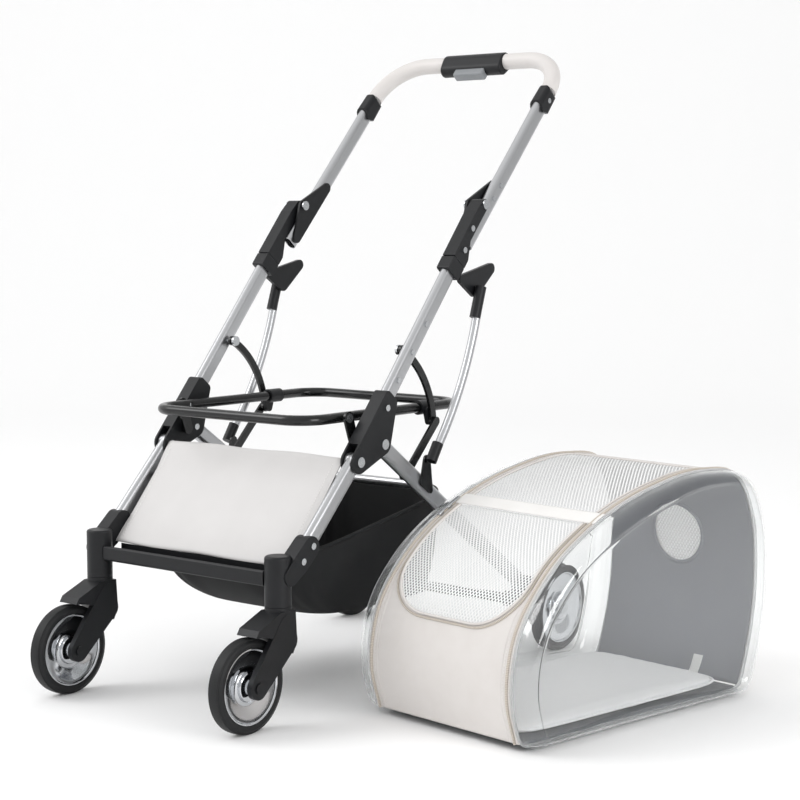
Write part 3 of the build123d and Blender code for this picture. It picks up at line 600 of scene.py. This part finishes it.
def make_top_cover():
    """Ivory borders round a net panel that sags by half a sine wave each way, with a bound edge."""
    borders = [plain_wall("border", (side * DOOR_HALF, side * WIDTH / 2), (STRIP_HIGH, TOP_END))
               for side in (-1, 1)]
    borders.append(plain_wall("border", (-DOOR_HALF, DOOR_HALF), (MESH_END, TOP_END)))
    dress(thicken(join("top_cover_cloth", borders), CLOTH), "ivory_fabric", "carrier", "ivory_fabric",
          "top_cover")
    across = np.linspace(-DOOR_HALF, DOOR_HALF, 60)[None, :]
    run = np.linspace(STRIP_HIGH, MESH_END, 60)[:, None]
    share = (run - STRIP_HIGH) / (MESH_END - STRIP_HIGH)
    sag = -2.0 * np.sin(np.pi * share) * np.cos(np.pi * across / WIDTH)
    net = wall_sheet("top_mesh_panel", MIDDLE + across, run, sag - 0.4)
    dress(thicken(net, NET), "white_mesh", "carrier", "white_mesh", "top_mesh")
    beads = []
    for side in (-1, 1):
        v, z = wall(np.linspace(STRIP_HIGH + 2, MESH_END, 160), 0.8)
        beads.append(tube("bead", carrier(MIDDLE + side * DOOR_HALF, v, z), 1.5, WIDE))
    v, z = wall(MESH_END, 0.8)
    beads.append(tube("bead", carrier(MIDDLE + np.linspace(-DOOR_HALF, DOOR_HALF, 60), v, z), 1.5, UP))
    dress(join("top_mesh_binding", beads), "ivory_fabric", "carrier", "ivory_fabric")


def make_cross_strip():
    """White webbing with a low crown, and a row of thread along each edge."""
    u = np.linspace(-WIDTH + 1, -1, 80)[None, :]
    share = np.linspace(0, 1, 12)[:, None]
    run = STRIP_LOW - 1 + share * (STRIP_HIGH - STRIP_LOW + 2)
    webbing = wall_sheet("cross_strip_webbing", u, run, 1.4 + 0.5 * np.sin(np.pi * share))
    dress(thicken(webbing, 1.4), "webbing", "carrier", "white_mesh", "cross_strip")
    rows = []
    for run_at in (STRIP_LOW + 2.5, STRIP_HIGH - 2.5):
        v, z = wall(run_at, 2.0)
        rows.append(stitches("strip_thread", carrier(np.linspace(-WIDTH + 4, -4, 60), v, z), UP))
    dress(join("strip_stitching", rows), "webbing", "carrier", "white_mesh")


def rear_patch(name, off, sides=40):
    """Wall round the rear window: straight rays from its round edge out to a rectangle's four sides."""
    half, top, foot = WIDTH / 2 - 1.0, TOP_END - REAR_MID, WALL_LENGTH - HEM_FOOT - REAR_MID
    step = np.linspace(0, 1, sides, endpoint=False)
    corners = np.array([(half, top), (half, foot), (-half, foot), (-half, top)])
    rim = np.concatenate([a + step[:, None] * (b - a) for a, b in zip(corners, np.roll(corners, -1, axis=0))])
    rim[:, 0] -= PORT_SHIFT
    turn = np.arctan2(rim[:, 1], rim[:, 0])
    port = PORT * np.stack([np.cos(turn), np.sin(turn)], 1)
    share = np.linspace(0, 1, 26)[:, None, None]
    flat = port + share * (rim - port)
    return wall_sheet(name, MIDDLE + PORT_SHIFT + flat[..., 0], REAR_MID + flat[..., 1], off, closed=True)


def make_rear_wall():
    """Ivory cloth outside and grey lining inside, with a round net window and its bound edges."""
    dress(thicken(join("rear_cover_cloth", [rear_patch("rear", 0.0)]), 1.8), "ivory_fabric", "carrier",
          "ivory_fabric", "rear_cover")
    dress(thicken(join("rear_lining_cloth", [rear_patch("lining", -3.2)]), 1.0), "grey_lining", "carrier",
          "grey_lining", "rear_lining")
    turn = np.linspace(0, 2 * np.pi, 120, endpoint=False)
    share = np.linspace(0, 1, 20)[:, None]
    disc = wall_sheet("disc", MIDDLE + PORT_SHIFT + share * PORT * np.cos(turn),
                      REAR_MID + share * PORT * np.sin(turn), -1.0, closed=True)
    dress(thicken(join("rear_window_panel", [disc]), NET), "white_mesh", "carrier", "white_mesh",
          "rear_window_mesh")
    for name, off, key in (("rear_window_binding", 0.5, "ivory_fabric"),
                           ("rear_window_inner_binding", -4.0, "grey_lining")):
        v, z = wall(REAR_MID + PORT * np.sin(turn), off)
        ring = carrier(MIDDLE + PORT_SHIFT + PORT * np.cos(turn), v, z)
        bead = join(name, [tube("bead", ring, 3.0, LONG + 0.01 * UP, closed=True)])
        dress(bead, key, "carrier", key)


def window_loop(count=360, reach=4):
    """Closed outline of a window: the wall and its straight foot, evened out and its corners rounded by
    a running mean of reach points each way."""
    foot = np.linspace(WALL[-1], WALL[0], 400)[1:]
    ring = np.concatenate([WALL, foot])
    run = run_along(ring)
    ring = sample(ring, run, np.linspace(0, run[-1], count, endpoint=False))
    return sum(np.roll(ring, k, axis=0) for k in range(-reach, reach + 1)) / (2 * reach + 1)


def make_side_windows():
    """Clear moulded dishes: a short straight wall, a quarter-round shoulder and a face that rises slightly
    to its middle; each row of the grid is the outline drawn in towards the hub."""
    ring = window_loop()
    hub = np.array([262.0, 150.0])
    shoulder = np.linspace(0, np.pi / 2, 14)
    ridge = np.linspace(0, np.pi, 9)[1:]
    inset = np.concatenate([[0, 0, 0], SHOULDER * (1 - np.cos(shoulder)), SHOULDER + 9 * ridge / np.pi])
    depth = np.concatenate([[-2, 3, 7], WINDOW_DEEP - SHOULDER + SHOULDER * np.sin(shoulder),
                            WINDOW_DEEP - 1.6 * (1 - np.cos(ridge))])
    side_rows = ring + inset[:, None, None] * unit(hub - ring)
    share = np.linspace(0, 1, 16)[1:]
    face_rows = side_rows[-1] + share[:, None, None] * (hub - side_rows[-1])
    flat = np.concatenate([side_rows, face_rows])
    deep = np.concatenate([depth, depth[-1] + 1.5 * np.sin(share * np.pi / 2)])[:, None]
    for name, body, edge_u, sign in (("left", "carrier", -WIDTH - HINGE_U, -1),
                                     ("right", "window_door", HINGE_U, 1)):
        dish = sheet_mesh("dish", carrier(edge_u + sign * deep, *flat.transpose(2, 0, 1)), close_second=True)
        dress(thicken(join(f"side_window_{name}_clear", [dish]), WINDOW_WALL), "clear_pvc", body,
              "clear_pvc", f"side_window_{name}")
        path = carrier(edge_u + sign * 0.6, ring[:, 0], ring[:, 1])
        bead = join(f"side_window_{name}_piping", [tube("bead", path, 2.6, WIDE, closed=True)])
        dress(bead, "clear_edge", body, "clear_pvc")


def rounded(name, centre, axes, size, power, count):
    """Superellipsoid: a box with round edges. axes are its three directions and size its full sizes in mm;
    a higher power makes it squarer."""
    long_turn = np.linspace(-np.pi, np.pi, 2 * count, endpoint=False)[:, None]
    lat_turn = np.linspace(-np.pi / 2, np.pi / 2, count)[None, :]
    lat, long = boxy(lat_turn, 2 / power), boxy(long_turn, 2 / power)
    local = np.stack(np.broadcast_arrays(lat[0] * long[0], lat[0] * long[1], lat[1]), -1)
    points = np.array(centre) + MM / 2 * (local * np.array(size)) @ np.array(axes, float)
    uv = MM * np.stack(np.broadcast_arrays(long_turn * size[0] / 6, lat_turn * size[1] / 3), -1)
    return join(name, [sheet_mesh(name, points, uv, close_first=True)])


def make_zips():
    """Tapes along both window edges, coils on them and round the door, seams, and sliders with pulls."""
    tapes, coils, seams, metal = [], [], [], []
    zip_at, tape_half = WIDTH / 2 - 7, 6
    for side in (-1, 1):
        edge = side * zip_at
        tapes.append(plain_wall("tape", (edge - tape_half, edge + tape_half),
                                (HEM_FOOT, WALL_LENGTH - HEM_FOOT), 0.9))
        v, z = wall(np.linspace(HEM_FOOT, WALL_LENGTH - HEM_FOOT, 900), 1.9)
        coils.append(tube("coil", carrier(MIDDLE + edge, v, z), COIL, WIDE, sides=8))
        for shift in (-7.5, 4.5):
            v, z = wall(np.linspace(8, WALL_LENGTH - 8, 500), 1.2)
            seams.append(stitches("seam", carrier(MIDDLE + edge + shift * side, v, z), WIDE))
    coils.append(tube("coil", door_outline(4.5, 0.9), 0.8 * COIL, WIDE + 0.3 * UP, sides=8))
    for across, run in ((-zip_at, STRIP_LOW - 14), (-zip_at, STRIP_LOW - 34),
                        (zip_at, WALL_LENGTH - 150), (zip_at, WALL_LENGTH - 44)):
        start, end = (carrier(MIDDLE + across, *wall(run + step, 4.0)) for step in (0, 6))
        ahead = unit(end - start)
        out = np.cross(WIDE, ahead)
        metal.append(rounded("slider", start, (WIDE, ahead, out), (8.5, 11, 5.0), 4.0, 12))
        metal.append(rounded("pull", start + MM * (14 * ahead + 1.5 * out), (WIDE, ahead, out),
                             (6.5, 24, 1.6), 6.0, 12))
    dress(thicken(join("zip_tape_cloth", tapes), 0.8), "ivory_fabric", "carrier", "ivory_fabric", "zip_tapes")
    dress(join("zip_coils", coils), "zip_coil", "carrier", "ivory_fabric")
    dress(join("zip_stitching", seams), "webbing", "carrier", "ivory_fabric")
    dress(join("zip_sliders", metal), "bright_steel", "carrier", "bright_steel")


def swell(piece, cap_mm, pressure, frames=20, even_mm=5):
    """Cloth simulation of a filled pad: pressure blows it up and no point moves further than the cap."""
    remesh = piece.modifiers.new("Even mesh", "REMESH")
    remesh.voxel_size = even_mm * MM
    bake(piece)
    count = len(piece.data.vertices)
    rest = np.empty(count * 3)
    piece.data.vertices.foreach_get("co", rest)
    cloth = piece.modifiers.new("Cloth", "CLOTH")
    cloth.settings.use_pressure = True
    cloth.settings.uniform_pressure_force = pressure
    cloth.settings.effector_weights.gravity = 0.0
    cloth.point_cache.frame_end = frames
    for step in range(1, frames + 1):
        bpy.context.scene.frame_set(step)
    bake(piece)
    blown = np.empty(count * 3)
    piece.data.vertices.foreach_get("co", blown)
    move = (blown - rest).reshape(-1, 3)
    far = np.linalg.norm(move, axis=1)[:, None]
    move *= np.minimum(1.0, cap_mm * MM / np.maximum(far, 1e-9))
    piece.data.vertices.foreach_set("co", (rest.reshape(-1, 3) + move).ravel())
    piece.data.update()
    bpy.context.scene.frame_set(1)


def bake(piece):
    """Puts what a piece's modifiers make into its mesh and takes the modifiers off."""
    seen = piece.evaluated_get(bpy.context.evaluated_depsgraph_get())
    mesh = bpy.data.meshes.new_from_object(seen)
    piece.modifiers.clear()
    piece.data = mesh


def make_floor_pad():
    """Fleece pad: a thin round-edged slab swelled by pressure, with a piped edge."""
    squareness = 9.0
    centre = carrier(MIDDLE, *PAD_MIDDLE)
    pad = rounded("floor_pad_fleece", centre, (WIDE, LONG, UP), PAD_SIZE, squareness, 60)
    swell(pad, 4.0, settings().pad_pressure)
    pad.data.shade_smooth()
    smooth = pad.modifiers.new("Smooth", "SUBSURF")
    smooth.levels = smooth.render_levels = 1
    dress(pad, "pad_fabric", "carrier", "pad_fabric", "floor_pad")
    turn = np.linspace(0, 2 * np.pi, 400, endpoint=False)
    edge = boxy(turn, 2 / squareness)
    v_mid, z_mid = PAD_MIDDLE
    path = carrier(MIDDLE + PAD_SIZE[0] / 2 * edge[0], v_mid + PAD_SIZE[1] / 2 * edge[1], z_mid)
    bead = join("floor_pad_piping", [tube("bead", path, 2.0, UP, closed=True)])
    dress(bead, "pad_fabric", "carrier", "pad_fabric")


def make_tag():
    """Small blank cloth tag sewn to the lining, curled a little at its free end."""
    across = np.linspace(-9, 9, 8)[None, :]
    share = np.linspace(0, 1, 14)[:, None]
    high = 46 - 30 * share
    v = np.interp(high, WALL[::-1][:400, 1], WALL[::-1][:400, 0]) - 5 - 5 * share**2
    tag = sheet_mesh("lining_tag", carrier(MIDDLE + 60 + across, v, high + 0 * across),
                     MM * np.stack(np.broadcast_arrays(across, high), -1))
    dress(thicken(tag, 0.5), "blank_tag", "carrier", "white_mesh")


# ---- the stroller's soft parts ----
def make_front_panel():
    """Coated cloth sleeve pulled over two bars. Its section is a flat loop with a fatter roll at each end;
    long low creases cross its face and grow towards the side seams."""
    foot, head = np.array(PANEL_FOOT), np.array(PANEL_HEAD)
    length = np.linalg.norm(head - foot)
    up = (head - foot) / length
    out = np.array([-up[1], up[0]])
    turn = np.linspace(0, 2 * np.pi, 150, endpoint=False)[:, None]
    x = PANEL_HALF * np.sin(np.linspace(-np.pi / 2, np.pi / 2, 130))[None, :]
    along = length / 2 * (1 - 0.012 * np.cos(np.pi * x / 90)) * boxy(turn, 0.3)[0]
    roll = (2.2 + 5.0 * np.exp(-((along - length / 2) / 13) ** 2)
            + 3.5 * np.exp(-((along + length / 2) / 12) ** 2))
    edge = np.clip((PANEL_HALF - np.abs(x)) / 9, 0.12, 1) ** 0.5
    crease = (1.1 * np.sin(along / 34 + x / 71) * np.sin(x / 46 - along / 90)
              + 1.0 * (x / PANEL_HALF) ** 2 * np.sin(along / 13 + np.abs(x) / 24))
    thick = roll * edge * boxy(turn, 0.7)[1]
    high = thick + crease * np.clip(1 - (2 * along / length) ** 6, 0, 1) + 2.0
    y = (foot[0] + head[0]) / 2 + along * up[0] + high * out[0]
    z = (foot[1] + head[1]) / 2 + along * up[1] + high * out[1]
    x = x * (1 - 0.012 * np.cos(np.pi * along / length) ** 2)
    uv = MM * np.stack(np.broadcast_arrays(x, along), -1)
    panel = sheet_mesh("front_panel_cloth", stroller(x, y, z), uv, close_first=True)
    dress(close_ends(panel), "white_panel", "front_frame", "white_panel", "front_panel")
    run = np.linspace(-0.44, 0.44, 60)[:, None] * length
    seam = (foot + head) / 2 + run * up + 5.4 * out
    rows = [stitches("thread", stroller(side * (PANEL_HALF - 13), *seam.T), UP) for side in (-1, 1)]
    dress(join("front_panel_stitching", rows), "webbing", "front_frame", "white_panel")


def make_basket():
    """Sagging tub: rounded-rectangle rings that shrink from a sloping rim to a floor, with soft pleats, and
    a bound rim. As the frame folds it shortens along a line that slopes up to the rear, which drops its rear
    rim below the rear cross tube."""
    turn = np.linspace(0, 2 * np.pi, 220, endpoint=False)[None, :]
    share = np.concatenate([np.linspace(0, 1, 26), np.linspace(1.08, 2, 12)])[:, None]
    fall = np.clip(share, 0, 1)
    floor_share = np.clip(share - 1, 0, 1)
    lengthwise, sideways = boxy(turn, 0.42)
    shrink = 1 - floor_share
    pleat = 1 + 0.012 * np.sin(19 * turn) * np.sin(np.pi * fall) * shrink
    front = 63 + 100 * fall**2.2
    back = 481 - 24 * fall**2
    half_x = (155 - 15 * fall**2) * shrink * pleat
    y = (front + back) / 2 + (back - front) / 2 * shrink * pleat * lengthwise
    x = half_x * sideways
    rim = 226 + (y - 60) / 6
    z = rim + (FLOOR_LOW - rim) * (1 - (1 - fall) ** 1.15) + 3 * np.sin(y / 60) * floor_share
    uv = MM * np.stack([x + z, y], -1)
    tub = join("basket_cloth", [sheet_mesh("tub", stroller(x, y, z), uv, close_second=True)])
    thicken(tub, 1.6)
    dress(tub, "black_fabric", "chassis", "black_fabric", "basket")
    bead = join("basket_binding", [tube("bead", stroller(x[0], y[0], z[0]), 3.0, UP, closed=True)])
    dress(bead, "black_fabric", "chassis", "black_fabric")
    for piece in (tub, bead):
        tuple(stroller(0, 240, 217))
        settings().basket_keep
        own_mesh(piece)


# ---- wheels ----
def wheel_facts(name):
    """Middle, outer radius and half width of a wheel, from its tyre's box."""
    low, high = (np.array(corner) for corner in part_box(name))
    return (low + high) / 2, (high[2] - low[2]) / 2 / MM, (high[0] - low[0]) / 2 / MM


def arc(centre, radius, start, end, count=8):
    """Profile points (across, out) on an arc, its angles in degrees from across towards out."""
    turn = np.radians(np.linspace(start, end, count))
    return [(centre[0] + radius * np.cos(a), centre[1] + radius * np.sin(a)) for a in turn]


def make_wheels():
    """Tyres with a round crown and two shallow shoulder grooves, and bright dishes: a rolled lip, a hollow
    cone in to a stepped hub, the same on both faces."""
    for end, side in (("front", "left"), ("front", "right"), ("rear", "left"), ("rear", "right")):
        centre, radius, half = wheel_facts(f"{end}_tyre_{side}")
        seat = radius - TYRE_DEEP
        groove = [(half - 3.4, radius - 2.4), (half - 3.0, radius - 3.2), (half - 2.3, radius - 3.4)]
        right = (arc((0, radius - 60), 60, 90, 82, 5) + groove + arc((half - 5, radius - 8.4), 5, 38, 0, 6)
                 + [(half - 0.4, seat + 1.5), (half - 2.2, seat)])
        profile = np.array(right + [(-a, r) for a, r in right[::-1]])
        body = f"{end}_wheel_{side}"
        tyre = lathe(f"{end}_tyre_{side}_rubber", profile, centre)
        dress(crease(tyre), "tyre_rubber", body, "tyre_rubber", f"{end}_tyre_{side}")
        low, high = (np.array(corner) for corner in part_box(f"{end}_rim_{side}"))
        reach = (high[0] - centre[0]) / MM, (centre[0] - low[0]) / MM
        faces = []
        for sign, hub in ((1, reach[0]), (-1, reach[1])):
            hub = max(hub, 9.6)
            step = min(hub, 9.0)
            face = [(10.9, seat - 0.1), (10.9, seat - 1.6), (9.8, seat - 2.8), (8.2, seat - 3.6)]
            face += [(8.2 - 5.6 * t, seat - 3.6 - (seat - 33) * t**0.75) for t in np.linspace(0.12, 1, 9)]
            face += [(2.6, 25.5), (4.0, 23.0), (step - 0.8, 21.6), (step, 20.4), (step, 13.6),
                     (step + 0.2, 12.2), (hub - 0.8, 11.8), (hub, 11.0), (hub, BORE)]
            faces.append([(sign * a, r) for a, r in face])
        rim = lathe(f"{end}_rim_{side}_dish", np.array(faces[0] + faces[1][::-1]), centre)
        dress(crease(rim), "chrome_wheel", body, "chrome_wheel", f"{end}_rim_{side}")


def crease(piece, degrees=32.0):
    """Keeps turned edges crisp and everything between them smooth."""
    piece.data.set_sharp_from_angle(angle=np.radians(degrees))
    return piece


# ---- finishes of the frame's own parts, and the stage ----
def finish_frame():
    """Each carried-over node gets the finish that its record slot names."""
    board = {"base_board": "dark_board"}
    for part in frame["record"]["subparts"]:
        name = part["node"]
        mesh = frame["nodes"][name].data
        mesh.materials.clear()
        mesh.materials.append(material_of(board.get(name, part["material_slot"])))


def area_light(name, place, aim, power, size):
    """White rectangular light of a size at a place, pointed at aim."""
    data = bpy.data.lights.new(name, "AREA")
    data.shape = "RECTANGLE"
    data.size, data.size_y = size
    data.energy = power
    light = bpy.data.objects.new(name, data)
    light.location = place
    light.rotation_euler = (Vector(aim) - Vector(place)).to_track_quat("-Z", "Y").to_euler()
    bpy.context.scene.collection.objects.link(light)


def make_stage():
    """Pale seamless floor, near-white surroundings, two large soft lights and the camera. The floor runs away
    from the camera, bends up by a quarter circle and goes on upright. The surroundings are a little brighter
    on the camera's left."""
    reach, behind, bend, top = 9.0, 4.0, 1.5, 6.4      # metres
    turn = np.linspace(0, np.pi / 2, 12)
    depth = np.concatenate([[-reach], behind + bend * np.sin(turn), [behind + bend]])[:, None]
    height = np.concatenate([[0], bend - bend * np.cos(turn), [top]])[:, None]
    across = np.linspace(-reach, reach, 12)[None, :]
    yaw = np.radians(CAMERA_TURN[2])
    points = np.stack(np.broadcast_arrays(across * np.cos(yaw) - depth * np.sin(yaw),
                                          across * np.sin(yaw) + depth * np.cos(yaw), height), -1)
    floor = sheet_mesh("studio_floor", points)
    floor.data.materials.append(finish_of("matt paper sweep", "#fbfbfb", 0.9)[0])
    world = bpy.data.worlds.new("studio")
    bpy.context.scene.world = world
    world.use_nodes = True
    tree = world.node_tree
    place = node(tree, "ShaderNodeTexCoord").outputs["Generated"]
    toward = node(tree, "ShaderNodeVectorMath", {0: place, 1: (-0.74, -0.6, 0.3)}, operation="DOT_PRODUCT")
    light = node(tree, "ShaderNodeMapRange",
                 {0: toward.outputs["Value"], 1: -0.8, 2: 0.6, 3: 0.62, 4: 1.12},
                 interpolation_type="SMOOTHSTEP")
    strength = node(tree, "ShaderNodeMath", {0: light.outputs[0], 1: settings().surround},
                    operation="MULTIPLY")
    tree.links.new(strength.outputs[0], tree.nodes["Background"].inputs["Strength"])
    tree.nodes["Background"].inputs["Color"].default_value = linear("#ffffff")
    area_light("key", (-2.6, -2.2, 3.0), (0, 0, 0.4), 50.0, (2.0, 2.0))
    area_light("fill", (3.0, -0.4, 1.1), (0.2, 0, 0.2), 34.0, (1.4, 1.4))
    data = bpy.data.cameras.new("camera")
    data.lens = 85.0
    data.sensor_width = 36.0
    camera = bpy.data.objects.new("camera", data)
    camera.location = ZERO + MM * np.array(CAMERA)
    camera.rotation_euler = np.radians(CAMERA_TURN)
    bpy.context.scene.collection.objects.link(camera)
    bpy.context.scene.camera = camera
    bpy.context.scene.view_settings.view_transform = "Standard"


# ---- add-on ----
class StrollerCloth(bpy.types.PropertyGroup):
    """Colours and softness of the sewn parts."""
    ivory: bpy.props.StringProperty(name="Ivory cloth", description="sRGB colour of the cover, as hex",
                                    default="#dedad7")
    lining: bpy.props.StringProperty(name="Lining", description="sRGB colour of the lining, as hex",
                                     default="#878a90")
    mesh_pitch: bpy.props.FloatProperty(name="Mesh pitch", default=5.0 * MM, unit="LENGTH",
                                        description="Spacing of the net's holes, in metres")
    pad_pressure: bpy.props.FloatProperty(name="Pad pressure", description="How hard the floor pad is filled",
                                          default=4.0)
    basket_keep: bpy.props.FloatProperty(name="Folded basket", subtype="FACTOR", default=0.25,
                                         description="Share of its length that the basket keeps when folded")


class StrollerStage(bpy.types.PropertyGroup):
    """Surroundings of the stroller."""
    surround: bpy.props.FloatProperty(name="Surround", description="Strength of the even light all round",
                                      default=0.95)


def settings():
    """The settings in use, whichever group they are in."""
    return Settings(bpy.context.scene.stroller_cloth, bpy.context.scene.stroller_stage)


class Settings:
    """Both property groups under one name."""

    def __init__(self, *groups):
        self.groups = groups

    def __getattr__(self, name):
        return next(getattr(group, name) for group in self.groups if hasattr(group, name))


def operator(key, label, text, make):
    """An Operator class that runs one maker."""
    def execute(self, context):
        make()
        return {"FINISHED"}
    return type(f"STROLLER_OT_{key}", (bpy.types.Operator,),
                {"__doc__": text, "bl_idname": f"stroller.{key}", "bl_label": label, "execute": execute})


OPERATORS = [
    operator("frame_finish", "Frame finishes", "Metal, nylon, rubber and leather of the frame", finish_frame),
    operator("wheels", "Wheels", "Four tyres and their bright dishes", make_wheels),
    operator("front_panel", "Front panel", "Coated cloth stretched over the front bars", make_front_panel),
    operator("basket", "Basket", "Black cloth tub under the hoop", make_basket),
    operator("front_cover", "Front cover", "Ivory cloth round and below the mesh door", make_front_cover),
    operator("mesh_door", "Mesh door", "White mesh door and its bound edge", make_mesh_door),
    operator("top_cover", "Top cover", "Ivory border and the top mesh panel", make_top_cover),
    operator("cross_strip", "Cross strip", "White webbing over the end of the door", make_cross_strip),
    operator("rear_wall", "Rear wall", "Rear cloth, lining and round window", make_rear_wall),
    operator("side_windows", "Side windows", "Clear moulded windows and their piping", make_side_windows),
    operator("zips", "Zips", "Zip tapes, coils, seams and sliders", make_zips),
    operator("floor_pad", "Floor pad", "Fleece pad on the carrier's floor", make_floor_pad),
    operator("tag", "Tag", "Blank cloth tag on the lining", make_tag),
    operator("stage", "Stage", "Floor, surroundings, lights and camera", make_stage),
]


class STROLLER_PT_looks(bpy.types.Panel):
    """Lists the settings and the pieces."""
    bl_label = "Pet stroller"
    bl_idname = "STROLLER_PT_looks"
    bl_space_type = "VIEW_3D"
    bl_region_type = "UI"
    bl_category = "Stroller"

    def draw(self, context):
        for group in (context.scene.stroller_cloth, context.scene.stroller_stage):
            for name in group.bl_rna.properties.keys():
                if name not in ("rna_type", "name"):
                    self.layout.prop(group, name)
        for made in OPERATORS:
            self.layout.operator(made.bl_idname)


CLASSES = [StrollerCloth, StrollerStage, *OPERATORS, STROLLER_PT_looks]


def register():
    """Adds the classes and the two groups of settings."""
    for made in CLASSES:
        bpy.utils.register_class(made)
    bpy.types.Scene.stroller_cloth = bpy.props.PointerProperty(type=StrollerCloth)
    bpy.types.Scene.stroller_stage = bpy.props.PointerProperty(type=StrollerStage)


def unregister():
    """Takes off what register adds."""
    del bpy.types.Scene.stroller_stage
    del bpy.types.Scene.stroller_cloth
    for made in reversed(CLASSES):
        bpy.utils.unregister_class(made)


def main():
    """Makes every piece and the stage, then writes the sizes of the frame and of the looks."""
    register()
    for made in OPERATORS:
        getattr(bpy.ops.stroller, made.bl_idname.split(".")[1])()
    bpy.context.view_layer.update()


if __name__ == "__main__":
    main()
